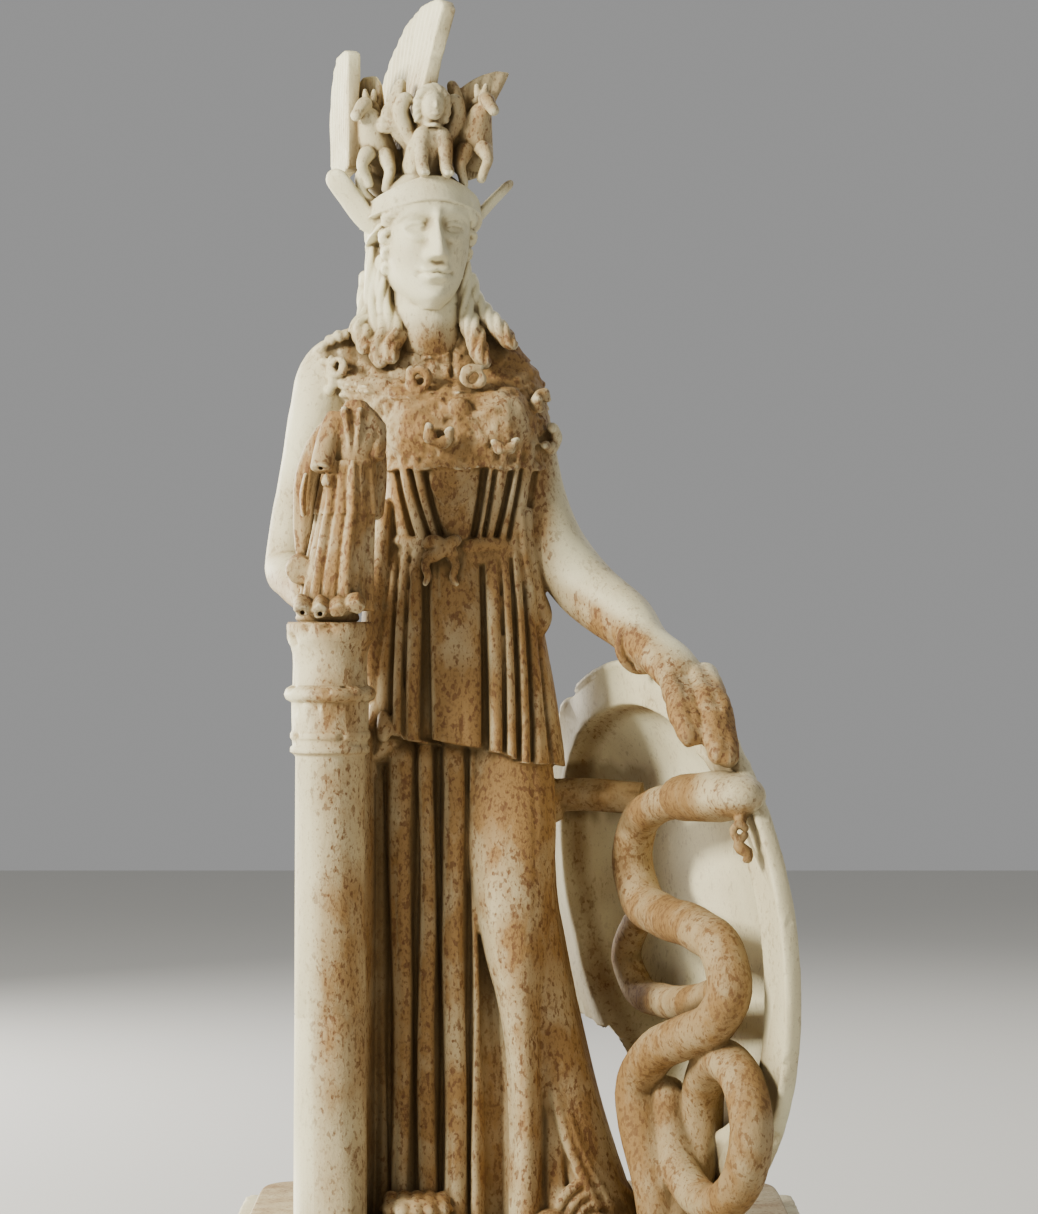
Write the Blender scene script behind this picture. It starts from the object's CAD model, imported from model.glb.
import math

import bmesh
import bpy
import numpy as np
from mathutils import Matrix, Vector
from mathutils.bvhtree import BVHTree

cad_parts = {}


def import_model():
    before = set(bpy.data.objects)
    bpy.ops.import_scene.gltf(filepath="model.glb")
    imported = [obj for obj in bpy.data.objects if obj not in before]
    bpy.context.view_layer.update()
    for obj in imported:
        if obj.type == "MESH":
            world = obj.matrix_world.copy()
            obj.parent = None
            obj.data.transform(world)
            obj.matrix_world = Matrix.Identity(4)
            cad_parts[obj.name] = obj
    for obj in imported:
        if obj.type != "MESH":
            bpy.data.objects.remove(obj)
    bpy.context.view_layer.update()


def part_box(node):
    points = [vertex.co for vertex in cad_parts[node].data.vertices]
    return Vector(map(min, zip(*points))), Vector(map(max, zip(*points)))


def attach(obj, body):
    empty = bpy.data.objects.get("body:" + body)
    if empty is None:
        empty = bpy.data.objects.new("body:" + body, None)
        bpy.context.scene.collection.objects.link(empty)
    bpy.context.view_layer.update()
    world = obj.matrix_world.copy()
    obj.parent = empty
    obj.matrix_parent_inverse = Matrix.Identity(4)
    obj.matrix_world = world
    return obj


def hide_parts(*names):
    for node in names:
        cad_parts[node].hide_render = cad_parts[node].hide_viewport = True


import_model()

# The standing leg's side of the dress, which falls below the overfold in straight pipes like a
# column's flutes. It is of one block with all that follows. Carvers' sizes here are in parts: the
# block's height is 950 parts, X runs to the shield's side and -Y is the front.
bed, crest_top = (corner[2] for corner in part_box("statue"))
PART = (crest_top - bed) / 950
SLAB_TOP = 14.0
TAU = 2 * math.pi


def fade(low, high, value):
    share = np.clip((value - low) / (high - low), 0, 1)
    return share * share * (3 - 2 * share)


def peak(value, middle, width):
    """A smooth hill of height one."""
    return np.exp(-(((value - middle) / width) ** 2))


def read(rows, z, ease=9.0):
    """Columns of a table at heights z, with the corners between its rows eased."""
    rows = np.array(rows, float)
    near = [z - ease, z, z + ease]
    columns = range(1, rows.shape[1])
    return [sum(np.interp(k, rows[:, 0], rows[:, c]) for k in near) / 3 for c in columns]


def mesh_points(mesh):
    points = np.empty(len(mesh.vertices) * 3)
    mesh.vertices.foreach_get("co", points)
    return points.reshape(-1, 3)


def put_points(mesh, points):
    mesh.vertices.foreach_set("co", np.ascontiguousarray(points, float).ravel())
    mesh.update()


def as_mesh(bm):
    mesh = bpy.data.meshes.new("form")
    bm.to_mesh(mesh)
    bm.free()
    return mesh


def skin(columns, rows, place):
    """A closed surface wound round an axis. place turns shares round and up into points."""
    bm = bmesh.new()
    bmesh.ops.create_grid(bm, x_segments=columns, y_segments=rows, size=1)
    mesh = as_mesh(bm)
    flat = mesh_points(mesh)
    turn = np.rint((flat[:, 0] + 1) / 2 * columns) % columns / columns
    ring = np.rint((flat[:, 1] + 1) / 2 * rows)
    points = np.column_stack(place(turn, np.clip((ring - 1) / (rows - 2), 0, 1)))
    for pole, nearest in ((0, 1), (rows, rows - 1)):
        points[ring == pole] = points[(ring == nearest) & (flat[:, 0] < 0.999)].mean(0)
    put_points(mesh, points)
    return mesh


def grain(points, size, seed):
    """Smooth noise from -1 to 1 whose lumps are of the given size."""
    cells = np.random.default_rng(seed).uniform(-1, 1, (32, 32, 32))
    base = np.floor(points / size).astype(int)
    t = points / size - base
    t = t * t * (3 - 2 * t)
    total = np.zeros(len(points))
    for corner in np.ndindex(2, 2, 2):
        weight = np.prod(np.where(corner, t, 1 - t), axis=1)
        total += weight * cells[tuple(((base + corner) % 32).T)]
    return total


def pipe(t, square=2.6, round_off=0.55):
    """The section of a rounded fold between two grooves, at t from 0 to 1."""
    return (1 - np.abs(2 * t - 1) ** square) ** round_off


def boxed(angle, square):
    """The cosine, for a section squarer than an ellipse."""
    return np.sign(np.cos(angle)) * np.maximum(1 - np.abs(np.sin(angle)) ** square, 0) ** (1 / square)


def pleated(turn, up, sections, low, high, folds, flutes, flute, square=3.0, front=0.66):
    """Cloth round the body. A fold is the x of its left edge at the low end, midway and at the
    high end, then its height at the same places. A height below nothing is a groove."""
    z = low + (high - low) * up
    cx, cy, a, b = read(sections, z)
    rows = np.array(folds, float)
    place = np.clip(turn / front, 0, 0.99999) * (len(rows) - 1)
    k = place.astype(int)
    t = place - k
    bends = [(1 - up) * (1 - 2 * up), 4 * up * (1 - up), up * (2 * up - 1)]
    left = sum(rows[k, n] * bends[n] for n in range(3))
    right = sum(rows[k + 1, n] * bends[n] for n in range(3))
    x = left + (right - left) * t
    lift = sum(rows[k, n + 3] * bends[n] for n in range(3))
    h = lift * pipe(t)
    back = turn >= front
    round_back = (turn - front) / (1 - front)
    angle = np.arcsin(np.clip((x - cx) / a, -0.999, 0.999))
    angle = np.where(back, math.pi / 2 + math.pi * round_back, angle)
    wave = pipe(round_back * flutes % 1, 2.2, 0.7)
    h = np.where(back, flute * wave * np.minimum(1, 8 * round_back * (1 - round_back)), h)
    x = cx + (a + np.where(back, 0.8, 0.35) * h) * np.sin(angle)
    return x, cy - (b + h) * boxed(angle, square), z, k, t, back


DRESS = [
    (0, -11, 12, 106, 80),
    (65, -22, 12, 95, 74),
    (103, -28, 12, 89, 70),
    (180, -37, 12, 80, 66),
    (257, -45, 12, 73, 62),
    (357, -48, 12, 70, 60),
    (420, -46, 12, 68, 56),
]
dress_folds = [
    (-118, -119, -119, 7, 7, 7),
    (-99, -101, -104, -5, -5, -5),
    (-95.5, -97, -100.5, 9, 9, 9),
    (-81.5, -80.5, -79, -7, -7, -5),
    (-76, -76, -76, 9, 9, 9),
    (-61, -62.5, -65, -9, -10, -11),
    (-57, -57.5, -58.5, 10, 10, 10),
    (-39.5, -40, -42, -6, -5, -4),
    (-35.5, -36, -38, 6, 5, 3),
    (-26.5, -31, -34, -15, -9, 0),
    (-7, -12, -24, 3, 3, 3),
    (17, 12, -2, -4, -2, 0),
    (21, 15, 1, 5, 3, 2),
    (38, 22, 8, -5, -3, -2),
    (42, 24, 10, 6, 4, 3),
    (61, 30, 15, -5, -3, -2),
    (65, 32, 17, 7, 4, 3),
    (97, 38, 23, 0, 0, 0),
]


def dress(turn, up):
    x, y, z, k, t, back = pleated(turn, up, DRESS, SLAB_TOP - 6, 396, dress_folds, 13, 10)
    # The pipes are dented and sway a little, as cut freehand, and the hem kicks out at the ground.
    y = y - np.where(back, -1, 1) * (4 * fade(60, 8, z) - 10 * fade(368, 386, z))
    chisel = peak(t, 0.35, 0.08) * ((k == 2) | (k == 6)) * ~back
    y = y + chisel * 1.6 * fade(-0.2, 0.5, np.sin(z / 31))
    sway = 1.1 * np.sin(z / 43 + 2 * k) * fade(396, 330, z) * ~back
    return x + sway, y, z


forms = {}
forms["dress"] = [skin(1000, 220, dress)]

# The relaxed leg shows through the cloth, knee forward, with a long ridge down its shin, and the
# toes of the standing foot come out under the hem. Folds sweep from the shin to the hem's corner.


def course(stations, rows):
    """Stations of x, y, z, radius and radius across, joined by a smooth curve in even steps."""
    stations = np.array([list(s) + [s[3]] * (5 - len(s)) for s in stations], float)
    legs = np.linalg.norm(np.diff(stations[:, :3], axis=0), axis=1)
    knots = np.r_[0, np.cumsum(legs)]
    slopes = np.gradient(stations, knots, axis=0) if len(knots) > 2 else None
    along = np.linspace(0, knots[-1], rows)
    k = np.clip(np.searchsorted(knots, along, side="right") - 1, 0, len(legs) - 1)
    span = (knots[k + 1] - knots[k])[:, None]
    s = (along - knots[k])[:, None] / span
    if slopes is None:
        return stations[k] * (1 - s) + stations[k + 1] * s, along
    return (
        (2 * s**3 - 3 * s**2 + 1) * stations[k]
        + (s**3 - 2 * s**2 + s) * span * slopes[k]
        + (3 * s**2 - 2 * s**3) * stations[k + 1]
        + (s**3 - s**2) * span * slopes[k + 1]
    ), along


def rod(stations, columns=32, rows=60, swell=None, across=(0, 1, 0), blunt=1.0):
    """A rounded limb along a curve. swell(turn, along) changes its radius; ends are domes."""
    path, along = course(stations, rows - 1)
    heading = np.gradient(path[:, :3], axis=0)
    heading /= np.linalg.norm(heading, axis=1)[:, None]
    side = np.array(across, float)
    if abs(heading[0] @ side) > 0.9 * np.linalg.norm(side):
        side = np.array([0, 0, 1.0])
    sides = np.empty_like(heading)
    for k in range(len(heading)):
        side = side - heading[k] * (side @ heading[k])
        side /= np.linalg.norm(side)
        sides[k] = side
    others = np.cross(heading, sides)

    def place(turn, up):
        here = up * (rows - 2)
        low = np.clip(here.astype(int), 0, rows - 3)
        s = (here - low)[:, None]
        at = path[low] * (1 - s) + path[low + 1] * s
        away = along[-1] * np.minimum(up, 1 - up) / np.maximum(at[:, 3], 1e-6) / blunt
        dome = np.sqrt(np.clip(1 - (1 - np.minimum(away, 1)) ** 2, 0.0004, 1))
        bulge = dome if swell is None else dome * swell(turn, up)
        u = (sides[low] * (1 - s) + sides[low + 1] * s) * (at[:, 4] * np.cos(TAU * turn))[:, None]
        v = (others[low] * (1 - s) + others[low + 1] * s) * (at[:, 3] * np.sin(TAU * turn))[:, None]
        return (at[:, :3] + bulge[:, None] * (u + v)).T

    return skin(columns, rows, place)


def blob(centre, radii, columns=32, rows=20, swell=None):
    def place(turn, up):
        lift = math.pi * (up - 0.5)
        out = 1 if swell is None else swell(turn, up)
        return [
            centre[0] + radii[0] * out * np.cos(lift) * np.sin(TAU * turn),
            centre[1] - radii[1] * out * np.cos(lift) * np.cos(TAU * turn),
            centre[2] + radii[2] * out * np.sin(lift),
        ]

    return skin(columns, rows, place)


def drawn_cloth(turn, up):
    """Two shallow folds down the outer side of the thigh, and one inside the knee."""
    outer = peak(turn, 0.335, 0.012) + 0.8 * peak(turn, 0.405, 0.01)
    inner = peak(turn - 0.60, 0.08 * up, 0.02) * fade(0.2, 0.4, up) * fade(0.75, 0.5, up)
    return 1 - 0.035 * outer * fade(0.55, 0.3, up) - 0.04 * inner


relaxed_leg = [
    (-12, -14, 404, 32, 26),
    (-8, -32, 335, 36, 31),
    (-5, -45, 268, 31, 31),
    (-2, -51, 222, 24, 27),
    (1, -54, 178, 16, 24),
    (5, -54, 120, 12, 22),
    (5, -58, 6, 12.5, 24),
]
cloth_behind_leg = [
    (-2, -22, 380, 22, 28),
    (0, -32, 300, 24, 26),
    (9, -36, 220, 24, 24),
    (21, -36, 150, 26, 24),
    (37, -34, 80, 30, 24),
    (50, -34, 6, 38, 24),
]
forms["dress"] += [rod(relaxed_leg, 120, 160, drawn_cloth), rod(cloth_behind_leg, 60, 100)]


def before(x, z):
    """The y of the dress's front, without its folds."""
    cx, cy, a, b = read(DRESS, np.array([float(z)]))
    return float(cy[0] - b[0] * max(1 - abs((x - cx[0]) / a[0]) ** 3, 0.002) ** (1 / 3))


# Shallow folds swing from the shin to the hem's far corner, where they curl like a shell.
for fold in range(4):
    sweep = [(14 + 6 * fold, 215 - 34 * fold), (22 + 9 * fold, 140 - 24 * fold)]
    sweep += [(38 + 11 * fold, 76 - 10 * fold), (60 + 10 * fold, 26)]
    forms["dress"].append(
        rod([(x, before(x, z) - 6, z, 4.5, 4.5) for x, z in sweep], 24, 80)
    )
for reach in (8, 16, 24, 32):
    arc = [math.radians(d) for d in range(25, 176, 15)]
    shell = [(58 + reach * math.cos(a), 14 + 1.15 * reach * math.sin(a)) for a in arc]
    forms["dress"].append(rod([(x, before(x, z) - 6, z, 3.0, 4) for x, z in shell], 20, 60))
for toe in (-2, -1, 0, 1, 2):
    x = -77 + 9.6 * toe
    length = 2.2 * toe * toe - (3 if toe == -1 else 0)
    forms["dress"].append(rod([
        (x, -66, SLAB_TOP + 24, 6.5), (x, -88 + length, SLAB_TOP + 22, 6.0),
        (x, -96 + length, SLAB_TOP + 19, 6.4), (x, -106 + length, SLAB_TOP + 15, 5.6, 5.0),
    ], 24, 40))
forms["dress"].append(blob((-77, -66, SLAB_TOP + 10), (27, 34, 17)))
forms["dress"].append(blob((-77, -76, SLAB_TOP + 4), (30, 36, 8)))
forms["dress"].append(rod([
    (-104, -78, 30, 3), (-92, -92, 37, 3), (-77, -97, 38, 3), (-60, -90, 36, 3), (-50, -78, 30, 3),
], 14, 40))
forms["dress"].append(blob((22, -66, SLAB_TOP), (17, 34, 16)))

# The overfold hangs from the belt to the thighs. Its pleats open downwards, and its hem steps up
# and down, with a swallowtail fold at the column's side.
OVERFOLD = [
    (357, -42, 12, 77, 70),
    (400, -44, 12, 73, 68),
    (430, -46, 12, 70, 66),
    (460, -47, 12, 65, 63),
    (500, -46, 12, 61, 57),
    (536, -43, 12, 57, 47),
]
overfold_rows = [
    (-119, -115, -98, 9, 7, 4),
    (-98, -96, -91, -3, -3, -2),
    (-95.5, -93.5, -89, 8, 7, 4),
    (-87.5, -86.5, -82, -3, -3, -2),
    (-85.5, -84.5, -80.5, 8, 8, 5),
    (-75.5, -74, -72.5, -9, -8, -4),
    (-66, -67.5, -69, 7, 7, 5),
    (-28, -28.5, -30.5, -9, -8, -4),
    (-22, -24, -27.5, 8, 8, 5),
    (-12.5, -13.5, -17, -3, -3, -2),
    (-10, -11.5, -15, 7, 7, 5),
    (-2, -4.5, -9, -5, -5, -3),
    (1, -1.5, -6.5, 7, 7, 5),
    (8.5, 5, -1, -4, -4, -3),
    (11, 7.5, 1, 7, 7, 5),
    (23, 14, 7, -4, -4, -2),
    (26, 16, 9, 5, 5, 3),
    (36, 22, 13, 0, 0, 0),
]
hem_line = [
    (-121, 357), (-112, 364), (-101, 383), (-92, 388), (-88, 382), (-66, 383), (-30, 377), (-20, 374),
    (-5, 371), (1, 365), (30, 363), (37, 360),
]


def overfold(turn, up):
    x, y, z, k, t, back = pleated(turn, up, OVERFOLD, 357, 536, overfold_rows, 13, 8)
    drop = np.where(k % 2 == 0, 0, 4)
    hem = np.interp(x, *np.array(hem_line, float).T) + np.where(back, 0, drop * pipe(t))
    z = hem + (536 - hem) * up
    # Gathers under the belt, two short folds on the flat panel, and a hem that flares a little.
    y = y + 1.4 * np.sin(x / 1.9) * fade(480, 524, z) * ~back
    for at, low, high, deep in ((0.18, 470, 500, 3.4), (0.5, 492, 515, 2.4), (0.8, 480, 505, 2.6)):
        y = y + deep * peak(t, at, 0.04) * fade(low, high, z) * (k == 6) * ~back
    y = y + 2.2 * peak(t, 0.62, 0.05) * fade(420, 372, z) * (k == 6) * ~back
    return x, y - np.where(back, -1, 1) * 4 * fade(392, 360, z), z


forms["dress"].append(skin(1000, 170, overfold))
for stations in (
    [(-106, -32, 424, 5, 8), (-109, -36, 398, 7, 11), (-114, -38, 372, 7, 12), (-112, -36, 350, 6, 9)],
    [(-103, -48, 404, 4), (-102, -54, 390, 6), (-104, -52, 381, 4.5)],
    [
        (-101, -18, 566, 4, 9), (-106, -22, 530, 8, 14), (-110, -26, 490, 9, 17),
        (-112, -30, 450, 9, 16), (-112, -32, 408, 7, 12),
    ],
    [
        (6, -22, 560, 4, 8), (9, -20, 525, 5, 10), (14, -18, 495, 6, 11), (19, -16, 474, 6, 10),
        (12, -18, 458, 4, 7),
    ],
    [(2, -30, 556, 3, 6), (4, -28, 525, 4, 7), (8, -27, 495, 5, 8), (12, -26, 468, 4, 6)],
):
    forms["dress"].append(rod(stations, 36, 90))

# The bodice: narrow grooves fan up from the belt and pass under the collar, with a plain panel
# between them where the cloth sags in shallow curves.
BODICE = [(520, -43, 12, 60, 48), (560, -42, 12, 60, 52), (606, -42, 12, 63, 56)]
bodice_folds = [
    (-95, -107, -105, 6, 7, 7),
    (-78, -90, -97, -6, -6, -5),
    (-73, -86, -93, 7, 8, 8),
    (-63, -77.5, -86, -4, -4, -3),
    (-60, -75, -83.5, 7, 7, 7),
    (-56, -68.5, -76, -6, -6, -5),
    (-51.5, -65, -72, 5, 6, 6),
    (-40, -32, -27, -7, -7, -5),
    (-35.5, -27, -22, 6, 7, 7),
    (-31, -23.5, -17, -4, -4, -3),
    (-28.5, -21, -15, 6, 7, 7),
    (-24, -13, -5.5, -6, -6, -5),
    (-19.5, -9, -1.5, 7, 7, 7),
    (-13, -4.5, 3, -4, -4, -3),
    (-10.5, -2, 5.5, 7, 7, 7),
    (-5, 6, 12, -9, -7, -5),
    (3.5, 11, 15.5, 6, 6, 6),
    (13, 18, 20, 0, 0, 0),
]


def bodice(turn, up):
    x, y, z, k, t, back = pleated(turn, up, BODICE, 522, 608, bodice_folds, 11, 5, 2.4)
    # On the plain panel the cloth sags in two shallow curves.
    panel = (k == 6) & ~back
    for height, deep in ((556, 1.9), (574, 1.5)):
        sag = z - height - 0.05 * (x + 50) ** 2
        y = y + panel * deep * (peak(sag, 0, 1.6) - peak(sag, 4, 3))
    return x, y, z


forms["dress"].append(skin(1000, 100, bodice))


# The belt is a pair of thin snakes, wound round the waist and knotted in front.
def belt_stations(phase, lift):
    stations = []
    for step in range(49):
        angle = TAU * step / 48
        wave = 2.5 * math.sin(6 * angle + phase)
        stations.append((
            -43 + (64 + wave * 0.4) * math.sin(angle), 12 - (54 + wave * 0.4) * math.cos(angle),
            528 + lift + wave - 3 * math.cos(2 * angle), 5.2,
        ))
    return stations


forms["dress"] += [
    rod(belt_stations(0, 3), 20, 300),
    rod(belt_stations(math.pi, -3), 20, 300),
    blob((-43, 12, 528), (61, 51, 12), 60, 20),
    rod([(-73, -42, 530, 4.4), (-64, -50, 533, 5), (-55, -52, 527, 5), (-47, -47, 521, 4.4)], 20, 40),
    rod([(-72, -42, 521, 4.4), (-62, -52, 523, 5), (-53, -52, 531, 5), (-45, -45, 535, 4.4)], 20, 40),
    rod([(-66, -46, 524, 4), (-71, -53, 514, 3.4), (-69, -55, 506, 2.8), (-72, -55, 499, 2)], 20, 40),
    rod([(-54, -46, 524, 4), (-48, -53, 514, 3.4), (-50, -55, 505, 2.8), (-46, -54, 499, 2)], 20, 40),
]

# The collar of scales lies over shoulders and breast like a short cape. Small snakes coil along
# its edge and at the throat, and the marble here is badly eaten.
COLLAR = [
    (588, -42, 12, 65, 60),
    (612, -46, 12, 70, 63),
    (642, -59, 12, 80, 56),
    (664, -71, 12, 86, 48),
    (680, -79, 12, 82, 42),
    (692, -81, 12, 67, 37),
    (704, -77, 12, 43, 33),
    (712, -71, 12, 28, 28),
]


def collar(turn, up):
    z = 588 + 124 * up
    cx, cy, a, b = read(COLLAR, z, 6)
    angle = TAU * turn
    # Overlapping scales, each thickest at its lower tip, in rows that step by half a scale. Decay
    # has eaten them into tufts.
    row = up * 13
    column = turn * 54 + 0.5 * (row.astype(int) % 2)
    tip = 1 - (row % 1)
    scale = 2.8 * tip * np.sqrt(np.clip(1 - (2 * (column % 1) - 1) ** 2 * 0.9, 0, 1))
    edge = fade(0.07, 0.0, up)
    where = np.column_stack([cx + a * np.sin(angle), cy - b * np.cos(angle), z])
    eaten = 1.6 * grain(where, 9, 5) + 1.9 * grain(where, 4.2, 6)
    eaten = eaten - 1.5 * fade(0.2, 0.7, grain(where, 5, 8))
    shown = fade(-0.35, 0.2, np.cos(angle))
    split = 3 * peak(where[:, 0], -51, 2) * fade(645, 660, z)
    ruffle = edge * (3.5 + 0.8 * np.sin(turn * TAU * 13 + 1))
    out = scale * (1 - 0.4 * shown) + eaten * (0.25 + 0.75 * shown) * (1 - 0.6 * edge) + ruffle
    out = out - np.where(np.cos(angle) > 0, split, 0)
    x = cx + (a + out) * np.sin(angle)
    y = cy - (b + out) * np.cos(angle)
    # The neckline dips in front.
    dip = 38 * fade(0.1, 1.0, np.cos(angle)) * fade(0.33, 1, up)
    return x, y, z - dip - 1.2 * edge * np.cos(turn * TAU * 13)


forms["dress"].append(skin(900, 220, collar))


def tufted(turn, up):
    """A swelling with the same tufts as the collar round it."""
    lift, angle = math.pi * (up - 0.5), TAU * turn
    across = np.cos(lift)
    where = 27 * np.column_stack([across * np.sin(angle), across * np.cos(angle), np.sin(lift)])
    return 1 + 0.045 * grain(where, 8, 7) + 0.05 * grain(where, 4.2, 9)


for x in (-73, -18):
    forms["dress"].append(blob((x, -17, 621), (32, 33, 33), 160, 100, tufted))
forms["dress"].append(blob((-46, -45, 634), (10, 5.5, 8), 90, 60, tufted))


def worn_ring(turn, up):
    return 1 + 0.17 * np.sin(3 * TAU * up + 2) + 0.09 * np.sin(17 * up + 2 * TAU * turn)


def coil(centre, radius, thick, yaw, turns=1.35, start=0.0):
    """A small snake curled into a ring that lies flat against the collar, head on the outside."""
    stations = []
    for step in range(22):
        share = step / 21
        angle = start + TAU * turns * share
        reach = radius * (1.08 - 0.42 * share)
        stations.append((
            centre[0] + reach * math.cos(angle) * math.cos(yaw),
            centre[1] + reach * math.cos(angle) * math.sin(yaw) - 2.4 * share,
            centre[2] + reach * math.sin(angle),
            thick * (1.1 - 0.25 * share),
        ))
    return rod(stations, 20, 110, worn_ring)


for centre, radius, thick, yaw, turns, start in (
    ((-76, -37, 657), 8.0, 3.3, -0.14, 1.4, 2.0),
    ((-34.5, -37, 658), 7.8, 3.2, 0.14, 1.4, 0.6),
    ((-59, -57, 615), 9.4, 4.0, 0.0, 0.72, 2.4),
    ((-9, -56, 611), 9.6, 4.0, 0.14, 0.5, 3.2),
    ((17, -18, 640), 6.5, 4.6, 0.9, 0.8, 0.0),
    ((24, -14, 614), 9.5, 4.6, 0.95, 0.7, 3.6),
    ((-139, -18, 668), 7.0, 3.6, -0.6, 1.2, 2.0),
    ((-151, -6, 676), 6.5, 4.0, -0.9, 0.8, 1.0),
    ((-146, -10, 656), 6.0, 3.8, -0.9, 0.7, 4.0),
):
    forms["dress"].append(coil(centre, radius, thick, yaw, turns, start))
shoulder_snake = [(-151, -6, 683, 3.6), (-141, -8, 690, 4.6), (-130, -8, 692, 4.2)]
forms["dress"].append(rod(shoulder_snake, 24, 30, worn_ring))

# The arms. The goddess's right forearm comes forward to the column's top; the left reaches over
# the shield's rim. Each swells at the shoulder, elbow and forearm as a rounded female arm does.
SHIELD_TURN = math.radians(64.5)
SHIELD_LEAN = math.radians(4.9)
SHIELD_RADIUS = 217.0
ahead = np.array([math.cos(SHIELD_TURN), -math.sin(SHIELD_TURN), 0])
upwards = np.array([
    -math.sin(SHIELD_TURN) * math.sin(SHIELD_LEAN), -math.cos(SHIELD_TURN) * math.sin(SHIELD_LEAN),
    math.cos(SHIELD_LEAN),
])
inwards = np.cross(ahead, upwards)
shield_middle = np.array([99, -23, SLAB_TOP - 3 + SHIELD_RADIUS * math.cos(SHIELD_LEAN)])


def rim(angle, out, w, *radii):
    """A station by its angle on the shield's rim, its distance outside and height inside it."""
    reach = SHIELD_RADIUS + out
    turn = math.radians(angle)
    point = shield_middle + reach * (math.cos(turn) * ahead + math.sin(turn) * upwards)
    return (*(point + w * inwards), *radii)


right_arm = [
    (-134, 10, 690, 12),
    (-147, 10, 666, 21.5),
    (-156, 12, 632, 21.5),
    (-166, 17, 590, 18.5),
    (-176, 20, 540, 17.5),
    (-179, 14, 514, 17.5),
    (-173, -16, 505, 16.5),
    (-160, -60, 491, 13),
    (-151, -84, 486, 13, 10),
    (-146, -98, 484, 17, 10),
]
left_arm = [
    (-2, 10, 650, 21),
    (5, 8, 612, 22),
    (15, 4, 565, 22),
    (25, -2, 535, 23.5),
    (52, -20, 497, 24),
    (81, -48, 473, 22),
    rim(77, 16, 6, 17),
    rim(70, 13, 5, 14, 19),
    rim(63, 8, 4, 12, 18),
]
forms["dress"] += [rod(right_arm, 80, 200), rod(left_arm, 90, 220, across=inwards)]

# The right hand lies palm up on the column. Its fingers are broken off, and each stump has the
# drilled hole of an old repair. The left hand's fingers lie worn along the shield's rim.
COLUMN_TOP = 472.0
COLUMN_X, COLUMN_Y = -141.0, -98.0
hand = [
    blob((-143, -103, COLUMN_TOP + 9), (24, 27, 10), 50, 30),
    blob((-143, -100, COLUMN_TOP + 3), (24, 25, 7), 50, 30),
]
finger_ends = []


def broken(n):
    """The ragged section of a finger's stump."""

    def swell(turn, up):
        lumps = 0.09 * np.sin(TAU * (2 * turn + 0.3 * n))
        return 1 + lumps + 0.07 * np.sin(TAU * 5 * turn + n)

    return swell


for n, (x, drop) in enumerate(((-160, 0), (-147, 1), (-133.5, 0.5), (-120.5, -2))):
    stump = [(x + 1, -112, COLUMN_TOP + 13, 6), (x, -128, COLUMN_TOP + 14 - drop, 6.4)]
    stump.append((x, -137, COLUMN_TOP + 8 - drop, 6.2))
    hand.append(rod(stump, 24, 40, broken(n), blunt=0.3))
    finger_ends.append((x, COLUMN_TOP + 6 - drop))
hand.append(rod([(-120, -96, COLUMN_TOP + 14, 7), (-113, -108, COLUMN_TOP + 20, 6)], 24, 30))
for near, far in (((-17, -9, -2, 5, 9), 40), ((-8, -1, 6, 12, 15), 41)):
    places = zip((67, 59, 51, 44, far), (10, 9, 7, 4, 2), near, (10, 10, 9.5, 9, 7.5))
    hand.append(rod([rim(*place) for place in places], 36, 90, across=inwards))
for near in ((4, 11, 18, 21), (10, 18, 25, 27)):
    places = zip((68, 60, 53, 47), (9, 6, 3, 1), near, (9.5, 9, 8.5, 7.5))
    hand.append(rod([rim(*place) for place in places], 36, 80, across=inwards))
hand.append(rod([rim(66, 4, -2, 12), rim(55, 2, 4, 11), rim(46, -2, 9, 9)], 36, 60))
# A thin band round the wrist ends in a scroll.
wrist = np.array(rim(80, 15, 7))
angles = np.linspace(0, TAU, 17)
band = [wrist + 19 * (math.cos(a) * upwards + math.sin(a) * inwards) for a in angles]
hand.append(rod([(*point, 3.4) for point in band], 16, 90))
hand.append(coil((97, -80, 441), 6.4, 3.6, 0.25, 1.5, 1.0))
hand.append(blob((97, -77, 441), (5, 4, 5)))
forms["dress"] += hand

# The column: a plain shaft, slightly swollen, with two fillets, a plain drum, a heavy ring and a
# cavetto under a round abacus. A web of stone behind it ties it to the dress.
column_profile = [
    (27.5, 8),
    (27, 100),
    (26.3, 250),
    (26, 372),
    (27.5, 373.5),
    (30, 375),
    (30, 378.5),
    (28, 380),
    (28.5, 384),
    (30, 385.5),
    (30, 389),
    (28.5, 391),
    (28.8, 404),
    (29, 412),
    (33, 414.5),
    (34.5, 418),
    (33, 422),
    (28, 425),
    (27.5, 440),
    (28, 448),
    (29.5, 454),
    (32, 458),
    (32.5, 459.5),
    (32.5, 470),
    (31.5, COLUMN_TOP),
]


def column(turn, up):
    r, z = np.array(column_profile, float).T
    along = np.r_[0, np.cumsum(np.hypot(np.diff(r), np.diff(z)))]
    here = up * along[-1]
    radius, height = np.interp(here, along, r), np.interp(here, along, z)
    # An old crack runs round the shaft, and the mouldings' edges are nicked.
    crack = height - 179 - 1.5 * np.sin(TAU * turn * 2) - np.sin(TAU * turn * 7)
    where = np.column_stack([radius * np.sin(TAU * turn), radius * np.cos(TAU * turn), height])
    nicks = np.clip(grain(where, 9, 51) + 0.4 * grain(where, 4, 52) - 0.35, 0, 1) * fade(28, 30, radius)
    radius = radius - 0.7 * peak(crack, 0, 0.8) - 5 * nicks
    return COLUMN_X + radius * np.sin(TAU * turn), COLUMN_Y - radius * np.cos(TAU * turn), height


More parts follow.
